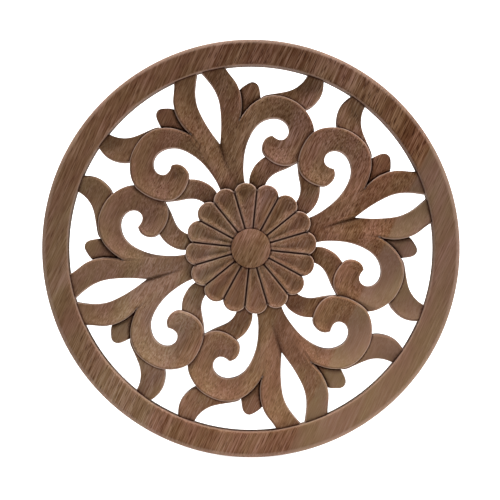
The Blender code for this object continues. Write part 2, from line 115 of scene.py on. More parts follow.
SCROLL_RIM = (
    FORK, (15.8, 63.4, 7.3, 9.3), (20.4, 66.1, 7.3, 9.4), (26.5, 67.6, 7.7, 9.4),
    (33.0, 66.5, 7.9, 9.4), (38.8, 62.7, 7.7, 9.4), (43.0, 57.7, 7.5, 9.4), (45.3, 51.0, 7.4, 9.3),
    (45.0, 45.0, 7.4, 9.3), (41.0, 38.9, 7.4, 9.3), (35.6, 34.6, 7.4, 9.3), (29.3, 32.8, 7.5, 9.3),
    (23.8, 34.9, 7.5, 9.2), (20.2, 38.6, 7.4, 9.2), (18.4, 42.6, 7.3, 9.2), (19.7, 46.7, 7.3, 9.1),
    (22.8, 48.9, 7.0, 8.5), (*HOOK_TIP, 6.5, 7.0))
SCROLL_DIP = (
    (6.2, 27.0, 6.0), (6.5, 33.3, 6.3), (8.2, 39.9, 6.4), (11.2, 46.7, 6.3), (15.4, 52.3, 6.3),
    (20.5, 56.2, 6.3), (26.3, 57.2, 6.3), (31.3, 55.3, 6.2), (33.7, 50.9, 6.1), (32.6, 47.3, 6.1),
    (29.4, 45.7, 6.1), (26.9, 46.9, 6.2), (*HOOK_TIP, 6.5))
FLARE_RIM = (
    (40.0, 57.4, 7.0, 8.0), (44.3, 56.2, 6.7, 7.9), (49.3, 57.7, 6.8, 8.3), (53.5, 60.9, 6.8, 8.3),
    (55.7, 65.0, 6.5, 7.8), (57.2, 70.0, 6.2, 7.2))
FLARE_DIP = (
    (22.6, 65.4, 7.6), (25.4, 68.0, 7.6), (30.0, 68.2, 7.4), (35.6, 67.5, 7.0), (40.5, 67.4, 6.6),
    (45.0, 68.7, 6.0), (49.4, 71.8, 5.6), (52.0, 75.5, 5.6))
SPRIG_RIM = (
    (22.5, 41.0, 7.0, 8.0), (18.4, 40.1, 6.6, 7.7), (14.0, 38.2, 6.8, 8.1), (10.7, 35.3, 6.6, 7.8),
    (8.6, 32.0, 6.2, 7.2), (7.6, 27.0, 6.0, 6.8))
SPRIG_DIP = (
    (36.0, 33.6, 7.2), (32.5, 32.9, 7.1), (27.0, 31.9, 6.8), (21.0, 31.1, 6.2), (17.6, 29.5, 5.8),
    (15.2, 27.0, 5.6), (13.5, 24.0, 5.6))
BUD_TOP = (
    (13.9, 73.0), (16.9, 74.9), (20.4, 76.1), (23.6, 76.3), (25.3, 74.8), (25.7, 71.8),
    (25.2, 68.4), (25.0, 65.5))
BUD_FOOT = ((19.0, 62.0), (13.0, 59.0), (12.0, 63.0), (13.0, 69.0))
print(len(SCROLL_RIM), "guide points on the scroll's rim,", len(LEAF_RIM), "on the leaf's")

# %% Smooth curves through the guide points
SPAN_POINTS = 60
LINE_STEP = 0.6


def spline(guide):
    """A natural cubic spline through the guide points, divided evenly."""
    knots = np.array(guide, float)
    lengths = np.linalg.norm(np.diff(knots[:, :2], axis=0), axis=1)
    system = np.eye(len(knots))
    right = np.zeros_like(knots)
    for i in range(1, len(knots) - 1):
        before, after = lengths[i - 1], lengths[i]
        system[i, i - 1:i + 2] = before, 2 * (before + after), after
        right[i] = 6 * ((knots[i + 1] - knots[i]) / after - (knots[i] - knots[i - 1]) / before)
    bend = np.linalg.solve(system, right)
    t = np.linspace(0, 1, SPAN_POINTS, endpoint=False)[:, None]
    s = 1 - t
    spans = []
    for i, length in enumerate(lengths):
        bulge = length ** 2 / 6 * ((s ** 3 - s) * bend[i] + (t ** 3 - t) * bend[i + 1])
        spans.append(s * knots[i] + t * knots[i + 1] + bulge)
    return evenly(np.vstack(spans + [knots[-1:]]))


def evenly(line):
    """The line with its points set one step apart, its ends kept."""
    along = np.concatenate(([0], np.cumsum(np.linalg.norm(np.diff(line[:, :2], axis=0), axis=1))))
    marks = np.linspace(0, along[-1], max(1, round(along[-1] / LINE_STEP)) + 1)
    return np.stack([np.interp(marks, along, column) for column in line.T], 1)


stem = spline(STEM_CREST)
leaf_rim = np.vstack([spline(LEAF_RIM)[:-1], stem])
leaf_dip = np.vstack([spline(EYE_DIP)[:-1], spline(AXIS_DIP)])
scroll_rim = np.vstack([stem[:0:-1], spline(SCROLL_RIM)])
scroll_dip = spline(SCROLL_DIP)[:-1]
flare_rim, flare_dip = spline(FLARE_RIM), spline(FLARE_DIP)
sprig_rim, sprig_dip = spline(SPRIG_RIM), spline(SPRIG_DIP)
bud_top, bud_foot = spline(BUD_TOP), np.array(BUD_FOOT)[::-1]
print("scroll rim", len(scroll_rim), "points, leaf rim", len(leaf_rim), "points")

# %% [markdown]
# ## Cross-sections
#
# A gouge leaves the same section all along a leaf: a narrow bevel at the rim, a crest, and a hollow
# that falls steeply at first and then runs out flat. So a height needs only two distances in plan,
# one to the rim and one to the dip. Where a leaf meets the ring, the rosette or a scroll on top of
# it, it is cut down to meet that higher part low, as the real ones are.

# %% Distances in plan
ON_EDGE = 0.03
TINY = 1e-6
AT_A_TIME = 4000


def nearest_run(points, start, end):
    """Distance from each point to the nearest of many short runs, which one, and where on it."""
    distance, pick, share = np.empty(len(points)), np.empty(len(points), int), np.empty(len(points))
    run = end - start
    reach = np.maximum((run ** 2).sum(1), TINY)
    for first in range(0, len(points), AT_A_TIME):
        some = slice(first, first + AT_A_TIME)
        gap = points[some, None] - start
        t = np.clip((gap * run).sum(2) / reach, 0, 1)
        far = ((gap - t[..., None] * run) ** 2).sum(2)
        best = far.argmin(1)
        each = np.arange(len(best))
        distance[some], pick[some], share[some] = np.sqrt(far[each, best]), best, t[each, best]
    return distance, pick, share


def nearest(points, line):
    """Distance from each point to the line, and the line's values at the nearest place."""
    distance, pick, share = nearest_run(points, line[:-1, :2], line[1:, :2])
    return distance, line[pick] * (1 - share[:, None]) + line[pick + 1] * share[:, None]


def closed(loop):
    """The loop with its first point again at its end."""
    return np.vstack([loop, loop[:1]])


def inside(points, loop):
    """Whether each point lies in the closed loop or on its edge."""
    found = np.zeros(len(points), bool)
    low, high = loop.min(0) - ON_EDGE, loop.max(0) + ON_EDGE
    near = np.flatnonzero(((points > low) & (points < high)).all(1))
    x0, y0 = loop.T
    x1, y1 = np.roll(loop, -1, 0).T
    for first in range(0, len(near), AT_A_TIME):
        some = near[first:first + AT_A_TIME]
        x, y = points[some, :1], points[some, 1:]
        slope = (x1 - x0) / np.where(y1 == y0, 1, y1 - y0)
        crosses = ((y0 > y) != (y1 > y)) & (x < (y - y0) * slope + x0)
        on_edge = nearest(points[some], closed(loop))[0] < ON_EDGE
        found[some] = (crosses.sum(1) % 2 == 1) | on_edge
    return found


def radius_of(points):
    return np.linalg.norm(points, axis=1)


tip_to_leaf = nearest(np.array([HOOK_TIP]), leaf_rim)[0][0]
print("the scroll's tip curls back to", in_mm(tip_to_leaf), "from the leaf's rim")

# %% Sections of the carved parts
RIM_WIDTH = 1.1
DISH_POWER = 1.6
SINK_AT_RING = (7.4, 0.45)
SINK_AT_ROSETTE = (6.2, 0.40)
SINK_AT_SCROLL = (7.3, 0.50)
EYE_MIDDLE = 65.0
STEM_GROOVE_FOOT = 33.0
STEM_GROOVE_DEPTH = 2.6
STEM_GROOVE_HALF = 1.6
BUD_GROOVE = 4.9
BUD_HEIGHT = 7.2
BUD_SWELL = 2.2
BUD_TIP_DROP = 0.8


def sunk(height, distance, sink):
    """The height, cut down towards the higher part that starts at distance 0."""
    floor, slope = sink
    return np.minimum(height, floor + slope * np.maximum(distance, 0))


def sunk_at_ring(height, points):
    return sunk(height, RING_INNER - radius_of(points), SINK_AT_RING)


def sunk_at_rosette(height, points):
    return sunk(height, radius_of(points) - ROSETTE_REACH, SINK_AT_ROSETTE)


def dished(points, rim, dip):
    """A crest just inside the rim, then a hollow that falls away to the dip line."""
    from_rim, rim_at = nearest(points, rim)
    from_dip, dip_at = nearest(points, dip)
    edge, crest, foot = rim_at[:, 2], rim_at[:, 3], dip_at[:, 2]
    lip = np.clip(from_rim / RIM_WIDTH, 0, 1)
    past = np.maximum(from_rim - RIM_WIDTH, 0)
    share = past / np.maximum(past + from_dip, TINY)
    hollow = foot + (crest - foot) * (1 - share) ** DISH_POWER
    return np.where(lip < 1, edge + (crest - edge) * np.sin(lip * math.pi / 2), hollow)


def scroll_height(points):
    return sunk_at_rosette(dished(points, scroll_rim, scroll_dip), points)


def under_scroll_height(points):
    """The scroll that dips under its neighbour, whose rim is its own with x and y exchanged."""
    return sunk(scroll_height(points), nearest(points, scroll_rim[:, [1, 0]])[0], SINK_AT_SCROLL)


def leaf_height(points):
    """Half of the eye leaf, with half of the V groove that runs down from the eye."""
    height = sunk_at_ring(dished(points, leaf_rim, leaf_dip), points)
    rise = (points[:, 1] - STEM_GROOVE_FOOT) / (EYE_FOOT - STEM_GROOVE_FOOT)
    fade = np.where(points[:, 1] > EYE_MIDDLE, 0, np.clip(rise, 0, 1))
    across = np.clip(1 - points[:, 0] / STEM_GROOVE_HALF, 0, 1)
    return sunk_at_rosette(height, points) - STEM_GROOVE_DEPTH * fade * across


def flare_height(points):
    return sunk_at_ring(dished(points, flare_rim, flare_dip), points)


def sprig_height(points):
    return sunk_at_rosette(dished(points, sprig_rim, sprig_dip), points)


def bud_height(points):
    """A rounded bud, with a groove along the leaf and the scroll beside it."""
    away = np.minimum(nearest(points, leaf_rim)[0], nearest(points, scroll_rim)[0])
    swell = np.sin(np.clip(away / BUD_SWELL, 0, 1) * math.pi / 2)
    tip = np.clip(1 - nearest(points, bud_top)[0], 0, 1)
    return BUD_GROOVE + (BUD_HEIGHT - BUD_GROOVE) * swell - BUD_TIP_DROP * tip ** 2


in_dip = scroll_height(scroll_dip[:, :2])
print("the scroll's dip lies", in_mm(in_dip.min()), "to", in_mm(in_dip.max()), "above the back")

# %% Sections of the ring and the rosette
PETAL_RIM = 10.4
PETAL_EDGE_DROP = 0.5
PETAL_RIM_WIDTH = 0.8
PETAL_HOLLOW = 1.5
PETAL_HOLLOW_REACH = 2.6
GROOVE_HALF = 0.30
GROOVE_DEPTH = 1.2
BUTTON_TOP = 12.2
BUTTON_DROP = 1.0


def outer_share(radius):
    """0 on the ring's face, and from there up to 1 at its outer edge."""
    return np.clip((radius - RING_OUTER) / OUTER_ROUND + 1, 0, 1)


def inner_share(radius):
    return np.clip((RING_INNER - radius) / INNER_ROUND + 1, 0, 1)


def ring_height(points):
    """A flat face between two rounded edges."""
    radius = radius_of(points)
    outer_fall = OUTER_ROUND * (1 - np.sqrt(1 - outer_share(radius) ** 2))
    inner_fall = INNER_ROUND * (1 - np.sqrt(1 - inner_share(radius) ** 2))
    return RING_FACE - outer_fall - inner_fall


def petal_angle(points):
    """Angle of each point from the middle of its petal. A groove lies on each axis."""
    return np.arctan2(points[:, 1], points[:, 0]) % (2 * HALF_PETAL) - HALF_PETAL


def scallop_radius(angle):
    """How far out a petal reaches at an angle from its middle."""
    side = PETAL_TIP_CENTRE * np.sin(angle)
    return PETAL_TIP_CENTRE * np.cos(angle) + np.sqrt(PETAL_TIP_RADIUS ** 2 - side ** 2)


def rosette_height(points):
    """Petals hollowed like spoons, straight grooves between them, and a domed button."""
    radius, angle = radius_of(points), petal_angle(points)
    to_side = radius * np.sin(HALF_PETAL - np.abs(angle)) - GROOVE_HALF
    out = radius * np.cos(angle) - PETAL_TIP_CENTRE
    from_tip = PETAL_TIP_RADIUS - np.hypot(out, radius * np.sin(angle))
    inward = np.maximum(np.where(out > 0, np.minimum(from_tip, to_side), to_side), 0)
    lip = np.clip(inward / PETAL_RIM_WIDTH, 0, 1)
    reach = np.clip((inward - PETAL_RIM_WIDTH) / PETAL_HOLLOW_REACH, 0, 1)
    petal = PETAL_RIM - PETAL_EDGE_DROP * (1 - lip) ** 2
    petal -= PETAL_HOLLOW * np.sin(reach * math.pi / 2)
    petal -= GROOVE_DEPTH * np.clip(-to_side / GROOVE_HALF, 0, 1)
    button = BUTTON_TOP - BUTTON_DROP * (radius / BUTTON_RADIUS) ** 2
    return np.where(radius < BUTTON_RADIUS + ON_EDGE, button, petal)


button_top = rosette_height(np.zeros((1, 2)))[0]
print("the button stands", in_mm(button_top - RING_FACE), "above the ring's face")

# %% Lines of the rosette
STEP_WIDTH = 0.2
BUTTON_SIDES = 96
SCALLOP_SIDES = 20 * PETALS
GROOVE_END = 27.3
GROOVE_SHOULDER = 0.55
SHOULDER_START, SHOULDER_STOP = 1.0, 0.5
FLANK_START = 2.0
TIP_BOW, TIP_POINTS = 1.0, 12


def turned(points, angle):
    """The points turned anticlockwise round the centre."""
    c, s = math.cos(angle), math.sin(angle)
    return points @ np.array(((c, s), (-s, c)))


def circle(radius, sides):
    """A closed line with corners on the upright and level axes of the finished disc."""
    angles = np.arange(sides + 1) * 2 * math.pi / sides - PALMETTE_TILT
    return radius * np.stack([np.cos(angles), np.sin(angles)], 1)


def beside_groove(start, end, aside):
    """A straight line along the groove at a petal's lower side, and as far from it as given."""
    return turned(evenly(np.array([(start, -aside), (end, -aside)], float)), HALF_PETAL)


def rosette_lines():
    """Groove, crest and tip lines of every petal, and the button's edge."""
    start = BUTTON_RADIUS + STEP_WIDTH
    groove = beside_groove(start, GROOVE_END, 0)
    side = beside_groove(start, GROOVE_END, GROOVE_HALF)
    shoulder = beside_groove(start + SHOULDER_START, GROOVE_END - SHOULDER_STOP, GROOVE_SHOULDER)
    flank = beside_groove(start + FLANK_START, PETAL_TIP_CENTRE, GROOVE_HALF + PETAL_RIM_WIDTH)
    bow = np.linspace(-TIP_BOW, TIP_BOW, TIP_POINTS)
    reach = PETAL_TIP_RADIUS - PETAL_RIM_WIDTH
    tip = np.stack([PETAL_TIP_CENTRE + reach * np.cos(bow), reach * np.sin(bow)], 1)
    flip = np.array((1, -1))
    one = [groove, side, side * flip, shoulder, shoulder * flip, flank, flank * flip, tip]
    lines = [circle(BUTTON_RADIUS, BUTTON_SIDES), circle(start, BUTTON_SIDES)]
    for k in range(PETALS):
        lines += [turned(line, (2 * k + 1) * HALF_PETAL) for line in one]
    return lines


around = np.arange(SCALLOP_SIDES) * 2 * math.pi / SCALLOP_SIDES
scallops = scallop_radius(around % (2 * HALF_PETAL) - HALF_PETAL)[:, None]
scallops = scallops * np.stack([np.cos(around), np.sin(around)], 1)
print("petal tips reach", in_mm(radius_of(scallops).max()), "from the centre")

# %% [markdown]
# ## Laying the parts over each other
#
# The carver lets one scroll pass over the next. Here each part is a closed outline with a section,
# and the parts are stacked like sheets of paper: ring and rosette on top, then the scrolls that
# pass over, those that pass under, the leaves, buds, flares and sprigs. The first sheet that covers
# a place gives its height. This keeps the whole board one surface, with no parts stuck through
# each other.

# %% A sheet of the stack
class Sheet:
    """One part at its place on the disc: what it covers, how high it is, and its lines."""

    def __init__(self, covers, height, outlines, creases, foot):
        self.covers, self.height = covers, height
        self.outlines, self.creases, self.foot = outlines, creases, foot


def offset(line, distance, ends_meet=False):
    """The line moved sideways in plan, to its left for a positive distance."""
    if ends_meet:
        heading = np.roll(line, -1, 0)[:, :2] - np.roll(line, 1, 0)[:, :2]
    else:
        heading = np.gradient(line[:, :2], axis=0)
    heading = heading / np.linalg.norm(heading, axis=1)[:, None]
    moved = line.copy()
    moved[:, 0] -= heading[:, 1] * distance
    moved[:, 1] += heading[:, 0] * distance
    return moved


def placed(rim, dip, section, quarter_number, mirrored, creased=True):
    """A part of half a palmette, turned to its quarter and mirrored or not."""
    angle, side = quarter_number * 2 * math.pi / PALMETTES, -1 if mirrored else 1
    turn = np.array(((side * math.cos(angle), side * math.sin(angle)),
                     (-math.sin(angle), math.cos(angle))))
    own = np.vstack([rim[:, :2], dip[::-1, :2]])
    loop = own @ turn
    crest = offset(rim, RIM_WIDTH)
    middle = len(rim) // 2
    if creased and not inside(crest[middle:middle + 1, :2], own)[0]:
        crest = offset(rim, -RIM_WIDTH)
    ahead = np.roll(own, -1, 0)
    turns_left = (own[:, 0] * ahead[:, 1] - ahead[:, 0] * own[:, 1]).sum() > 0
    foot = offset(own, -STEP_WIDTH if turns_left else STEP_WIDTH, ends_meet=True)
    return Sheet(
        covers=lambda points: inside(points, loop),
        height=lambda points: section(points @ turn.T),
        outlines=[closed(loop)],
        creases=[crest[:, :2] @ turn] if creased else [],
        foot=closed(foot) @ turn)


moved_by = nearest(offset(scroll_rim, RIM_WIDTH)[:, :2], scroll_rim)[0].max()
print("a crest runs up to", in_mm(moved_by), "inside its rim")

# %% The stack of parts
RING, ROSETTE = 0, 1
RING_SIDES = 1040

ring = Sheet(
    covers=lambda points: radius_of(points) > RING_INNER - ON_EDGE,
    height=ring_height,
    outlines=[circle(RING_OUTER, RING_SIDES), circle(RING_INNER, RING_SIDES)],
    creases=[circle(RING_OUTER - OUTER_ROUND, RING_SIDES),
             circle(RING_INNER + INNER_ROUND, RING_SIDES)],
    foot=circle(RING_INNER - STEP_WIDTH, RING_SIDES))
rosette = Sheet(
    covers=lambda points: radius_of(points) < scallop_radius(petal_angle(points)) + ON_EDGE,
    height=rosette_height,
    outlines=[closed(scallops)],
    creases=rosette_lines(),
    foot=closed(scallops) * (1 + STEP_WIDTH / radius_of(scallops).max()))
sheets = [ring, rosette]
quarters = range(PALMETTES)
sheets += [placed(scroll_rim, scroll_dip, scroll_height, q, True) for q in quarters]
sheets += [placed(scroll_rim, scroll_dip, under_scroll_height, q, False) for q in quarters]
for rim, dip, section, creased in (
        (leaf_rim, leaf_dip, leaf_height, True), (bud_top, bud_foot, bud_height, False),
        (flare_rim, flare_dip, flare_height, True), (sprig_rim, sprig_dip, sprig_height, True)):
    sheets += [placed(rim, dip, section, q, m, creased) for q in quarters for m in (False, True)]
print(len(sheets), "sheets in the stack")

# %% What lies on top
def uppermost(points):
    """Number of the first sheet that covers each point, or -1 in a gap."""
    found = np.full(len(points), -1)
    for number, sheet in enumerate(sheets):
        bare = np.flatnonzero(found < 0)
        found[bare[sheet.covers(points[bare])]] = number
    return found


def surface(points):
    """Height of the carved front at each point."""
    found = uppermost(points)
    height = np.zeros(len(points))
    for number in np.unique(found[found >= 0]):
        mine = found == number
        height[mine] = sheets[number].height(points[mine])
    return height


ladder = np.stack([np.zeros(10), np.arange(5.0, 105.0, 10)], 1)
print("heights up the first palmette, every 10 mm:", surface(ladder).round(1).tolist())

# %% [markdown]
# ## One quarter of the disc
#
# The pattern repeats every quarter turn, so only the sector of one palmette is made into a mesh.
# Lines that must stay crisp go in as edges: outlines, crests, and the foot of each step where one
# part lies over another. Rows of points close behind every outline let the edge be rounded, as
# sanding leaves it, and a loose honeycomb of points fills the rest. A constrained Delaunay
# triangulation joins all of them up without crossing an edge.

# %% Lines and points of one quarter
EDGE_ROWS = (0.1, 0.28, 0.55)
BESIDE_CUT = 0.4
CLEAR_OF_CUT = 0.15
STEP_LEAST = 0.2


def from_cut(points):
    """How far each point lies inside the sector's two cuts, below 0 outside."""
    return (points[:, 1] - np.abs(points[:, 0])) / math.sqrt(2)


def runs(line):
    """The line as two-point runs that touch the sector."""
    pairs = np.stack([line[:-1, :2], line[1:, :2]], 1)
    return pairs[from_cut(pairs.reshape(-1, 2)).reshape(-1, 2).max(1) > -BESIDE_CUT]


crisp, rows, step_runs, step_owner = [], [], [], []
for number, sheet in enumerate(sheets):
    for line in sheet.outlines + sheet.creases:
        pairs = runs(line)
        if len(pairs):
            seen = uppermost(pairs.reshape(-1, 2)).reshape(-1, 2) == number
            crisp.append(pairs[seen.any(1)])
    pairs = runs(sheet.foot)
    if len(pairs):
        ends = pairs.reshape(-1, 2)
        steps_down = sheet.height(ends) - surface(ends) > STEP_LEAST
        crisp.append(pairs[((uppermost(ends) > number) & steps_down).reshape(-1, 2).any(1)])
        step_runs.append(crisp[-1])
        step_owner.append(np.full(len(crisp[-1]), number))
    for line in sheet.outlines:
        for width in EDGE_ROWS:
            for away in (-width, width):
                row = offset(line[:-1], away, ends_meet=True)
                row = row[from_cut(row) > CLEAR_OF_CUT]
                rows.append(row[uppermost(row) == number])
crisp, rows, step_runs = np.vstack(crisp), np.vstack(rows), np.vstack(step_runs)
step_owner = np.concatenate(step_owner)
print(len(crisp), "line pieces and", len(rows), "edge points")

# %% Close points welded
WELD = 0.06
CUT_STEP = 0.8


def point_tree(points):
    """A tree that finds the points near a place quickly."""
    tree = KDTree(len(points))
    for i, point in enumerate(points):
        tree.insert((*point, 0), i)
    tree.balance()
    return tree


def welded(points, apart):
    """The points with close ones left out, and where each old point went."""
    tree = point_tree(points)
    goes_to = np.full(len(points), -1)
    left = []
    for i, point in enumerate(points):
        if goes_to[i] < 0:
            for _, near, _ in tree.find_range((*point, 0), apart):
                if goes_to[near] < 0:
                    goes_to[near] = len(left)
            left.append(point)
    return np.array(left), goes_to


ray = np.linspace(0, 1, round(RING_OUTER / CUT_STEP) + 1)[:, None] * RING_OUTER
corner = np.array((math.sin(HALF_SECTOR), math.cos(HALF_SECTOR)))
for cut in (ray * corner, ray * corner * (-1, 1)):
    crisp = np.vstack([crisp, np.stack([cut[:-1], cut[1:]], 1)])
line_points, goes_to = welded(crisp.reshape(-1, 2), WELD)
edges = goes_to.reshape(-1, 2)
edges = edges[edges[:, 0] != edges[:, 1]]
print(len(line_points), "points on", len(edges), "crisp edges")

# %% Points that fill the rest
FILL_STEP = 0.88
FILL_CLEAR = 0.42
FILL_MARGIN = 0.5

across = np.arange(-RING_OUTER, RING_OUTER, FILL_STEP)
fill = np.vstack([np.stack([across + (i % 2) * FILL_STEP / 2, np.full(len(across), up)], 1)
                  for i, up in enumerate(np.arange(0, RING_OUTER, FILL_STEP * math.sqrt(3) / 2))])
fill = fill[(from_cut(fill) > FILL_MARGIN) & (radius_of(fill) < RING_OUTER - FILL_MARGIN)]
fill = fill[uppermost(fill) >= 0]
taken = point_tree(np.vstack([line_points, rows]))
fill = np.array([point for point in fill if taken.find((*point, 0))[2] > FILL_CLEAR])
print(len(fill), "fill points")

# %% The triangles of the front
SNAP = 1e-4
CROSSING_WELD = 0.04

cloud = [Vector(point) for point in np.vstack([line_points, rows, fill])]
joined = delaunay_2d_cdt(cloud, edges.tolist(), [], 0, SNAP)
plan, moved_to = welded(np.array([tuple(point) for point in joined[0]]), CROSSING_WELD)
triangles = moved_to[np.array(joined[2])]
triangles = triangles[(triangles != np.roll(triangles, 1, 1)).all(1)]
middles = plan[triangles].mean(1)
within = radius_of(middles) < RING_OUTER * math.cos(math.pi / RING_SIDES)
triangles = triangles[within & (from_cut(middles) > 0) & (uppermost(middles) >= 0)]
used, triangles = np.unique(triangles, return_inverse=True)
plan, triangles = plan[used], triangles.reshape(-1, 3)
print(len(plan), "points and", len(triangles), "triangles in the quarter's front")

# %% The quarter's border
AT_CUT = 1e-3


def border(faces):
    """Edges with a triangle on one side only: those at the two cuts, and those at a gap."""
    sides = np.vstack([faces[:, (0, 1)], faces[:, (1, 2)], faces[:, (2, 0)]])
    known = {tuple(side) for side in sides.tolist()}
    single = np.array([side for side in sides.tolist() if tuple(side[::-1]) not in known])
    at_cut = (from_cut(plan) < AT_CUT)[single].all(1)
    return single[at_cut], single[~at_cut]


cut_rim, gap_rim = border(triangles)
print(len(cut_rim), "edges at the two cuts,", len(gap_rim), "at the gaps and the outer edge")

# %% Heights, and edges rounded by sanding
EDGE_ROUND = 0.5

covered_by = uppermost(plan)
front_height = surface(plan)
gap_runs = np.stack([plan[gap_rim[:, 0]], plan[gap_rim[:, 1]]], 1)
gap_runs = np.vstack([turned(gap_runs, k * 2 * HALF_SECTOR) for k in (-1, 0, 1)])
to_gap = nearest_run(plan, gap_runs[:, 0], gap_runs[:, 1])[0]
carved = covered_by > RING
inward = np.minimum(to_gap[carved], EDGE_ROUND)
front_height[carved] -= EDGE_ROUND - np.sqrt(EDGE_ROUND ** 2 - (EDGE_ROUND - inward) ** 2)
print("heights run from", in_mm(front_height.min()), "to", in_mm(front_height.max()))

# %% [markdown]
# ## Paler edges for wear and painted highlight, and painted shade
#
# The upper edges are painted paler: partly wear, as hands polish raw wood, and partly painted
# highlight, where the edges catch the light. The grooves and the foot of each step are painted
# dark, and that is painted shade. A shader can look for bent edges by itself, but it treats them
# all alike, those of the sawn back too. Plain distances in plan choose better: each point keeps how
# near it is to a gap or a step down, and how near to a step up or a petal's groove.

# %% Where the edges are painted paler, for wear and painted highlight
WORN_AND_HIGHLIT_WIDTH = 0.5
INNER_WORN_AND_HIGHLIT = 0.4
BEVEL_WORN_AND_HIGHLIT = 0.35
BEVEL_RISE = 3

from_centre = radius_of(plan)
to_step, nearest_step, _ = nearest_run(plan, step_runs[:, 0], step_runs[:, 1])
step_above = step_owner[nearest_step]
to_step_down = np.where(covered_by == step_above, np.maximum(to_step - STEP_WIDTH, 0), to_gap)
# Edges of gaps and of steps down are painted paler: partly wear, partly painted highlight.
worn_and_highlit = np.clip(1 - np.minimum(to_gap, to_step_down) / WORN_AND_HIGHLIT_WIDTH, 0, 1)
worn_and_highlit[(covered_by == RING) & (from_centre < RING_INNER + INNER_ROUND)] *= INNER_WORN_AND_HIGHLIT
# The ring's outer bevel is painted paler: partly painted highlight, as it faces the lamps, and
# partly paler sanded wood.
on_bevel = np.minimum(BEVEL_RISE * outer_share(from_centre), 1)
worn_and_highlit = np.maximum(worn_and_highlit, BEVEL_WORN_AND_HIGHLIT * on_bevel)
print(int((worn_and_highlit > 0.5).sum()), "points are rubbed")

# %% Where shade is painted, at the foot of each step and in the petals' grooves
STEP_SHADE_WIDTH = 0.7
GROOVE_SHADE_WIDTH = 0.62
GROOVE_SHADE = 1.8
SHOULDER_WIDTH = 0.3
SHOULDER_HIGHLIGHT = 0.35

# Painted shade at the foot of each step, where the higher part shades the lower.
painted_shade = np.where(covered_by > step_above, np.clip(1 - to_step / STEP_SHADE_WIDTH, 0, 1), 0)
# Painted shade along each petal's groove and round the button's foot.
petals = (covered_by == ROSETTE) & (from_centre > BUTTON_RADIUS + ON_EDGE)
to_groove = from_centre * np.sin(HALF_PETAL - np.abs(petal_angle(plan)))
to_groove = np.minimum(to_groove, from_centre - BUTTON_RADIUS - STEP_WIDTH)[petals]
painted_shade[petals] = np.clip(GROOVE_SHADE * (1 - to_groove / GROOVE_SHADE_WIDTH), 0, 1)
# A painted highlight along the shoulders beside each groove.
on_shoulder = np.clip(1 - np.abs(to_groove - GROOVE_SHOULDER) / SHOULDER_WIDTH, 0, 1)
worn_and_highlit[petals] = np.maximum(worn_and_highlit[petals], SHOULDER_HIGHLIGHT * on_shoulder)
# The count is of the points with painted shade.
print(int((painted_shade > 0.5).sum()), "points are dirty")

# %% [markdown]
# ## Walls and back
#
# The gaps are sawn straight through, so each wall drops from the carved edge to the flat back. The
# back is plain and sanded, with only the disc's outer corner taken off. It is triangulated from the
# border points alone, because a flat face needs no more.

# %% The flat back
BACK_ARRIS = 0.5
AT_RIM = 0.02
BACK_SNAP = 1e-6

quarter_rim = np.vstack([cut_rim, gap_rim])
rim_points = np.unique(quarter_rim)
outermost = np.abs(from_centre[rim_points] - RING_OUTER) < AT_RIM
back_plan = plan[rim_points].copy()
back_plan[outermost] *= (RING_OUTER - BACK_ARRIS) / RING_OUTER
to_back = {point: k for k, point in enumerate(rim_points.tolist())}
back_edges = [(to_back[a], to_back[b]) for a, b in quarter_rim.tolist()]


def wood_side(faces, edges):
    """The triangles on the left of the given edges, found by spreading from them."""
    owner = {(face[i - 1], face[i]): number for number, face in enumerate(faces) for i in range(3)}
    walls = set(edges) | {(b, a) for a, b in edges}
    waiting = [owner[edge] for edge in edges]
    found = set(waiting)
    while waiting:
        face = faces[waiting.pop()]
        for i in range(3):
            side = (face[i], face[i - 1])
            beyond = owner.get(side)
            if side not in walls and beyond is not None and beyond not in found:
                found.add(beyond)
                waiting.append(beyond)
    return [faces[number] for number in sorted(found)]


spread = delaunay_2d_cdt([Vector(point) for point in back_plan], back_edges, [], 0, BACK_SNAP)
back = wood_side(spread[2], back_edges)
print(len(back), "triangles on the quarter's back")

# %% Walls, and the quarter's mesh
first_back = len(plan)
first_arris = first_back + len(rim_points)
to_arris = {point: first_arris + k for k, point in enumerate(rim_points[outermost].tolist())}
faces = [tuple(face) for face in triangles.tolist()]
faces += [tuple(first_back + point for point in face[::-1]) for face in back]
for a, b in gap_rim.tolist():
    low_a, low_b = first_back + to_back[a], first_back + to_back[b]
    if a in to_arris and b in to_arris:
        faces.append((a, to_arris[a], to_arris[b], b))
        a, b = to_arris[a], to_arris[b]
    faces.append((a, low_a, low_b, b))
whole_plan = turned(np.vstack([plan, back_plan, plan[rim_points[outermost]]]), PALMETTE_TILT)
whole_height = np.concatenate(
    [front_height, np.zeros(len(back_plan)), np.full(outermost.sum(), BACK_ARRIS)])
corners = np.stack([whole_plan[:, 0], -whole_height, whole_plan[:, 1]], 1) * MM
quarter = bpy.data.meshes.new("quarter")
quarter.from_pydata(corners.tolist(), [], faces)
# These carry the paler edges (wear and painted highlight), the painted shade, and the ring's mask.
for name, values in (("worn_and_highlit", worn_and_highlit), ("painted_shade", painted_shade), ("on_ring", covered_by == RING)):
    filled = np.zeros(len(corners), np.float32)
    filled[:len(plan)] = values
    quarter.attributes.new(name, "FLOAT", "POINT").data.foreach_set("value", filled)
print("the quarter has", len(quarter.polygons), "faces")

# %% [markdown]
# ## Four palmettes
#
# A printer's pattern repeats by turning, and so does this one: Geometry Nodes put one instance of
# the quarter on each of four points at the disc's centre, and turn each by its number times a
# quarter turn. The number of repeats and the material are inputs of the tree. The seams are then
# merged, so that the disc is one closed skin.

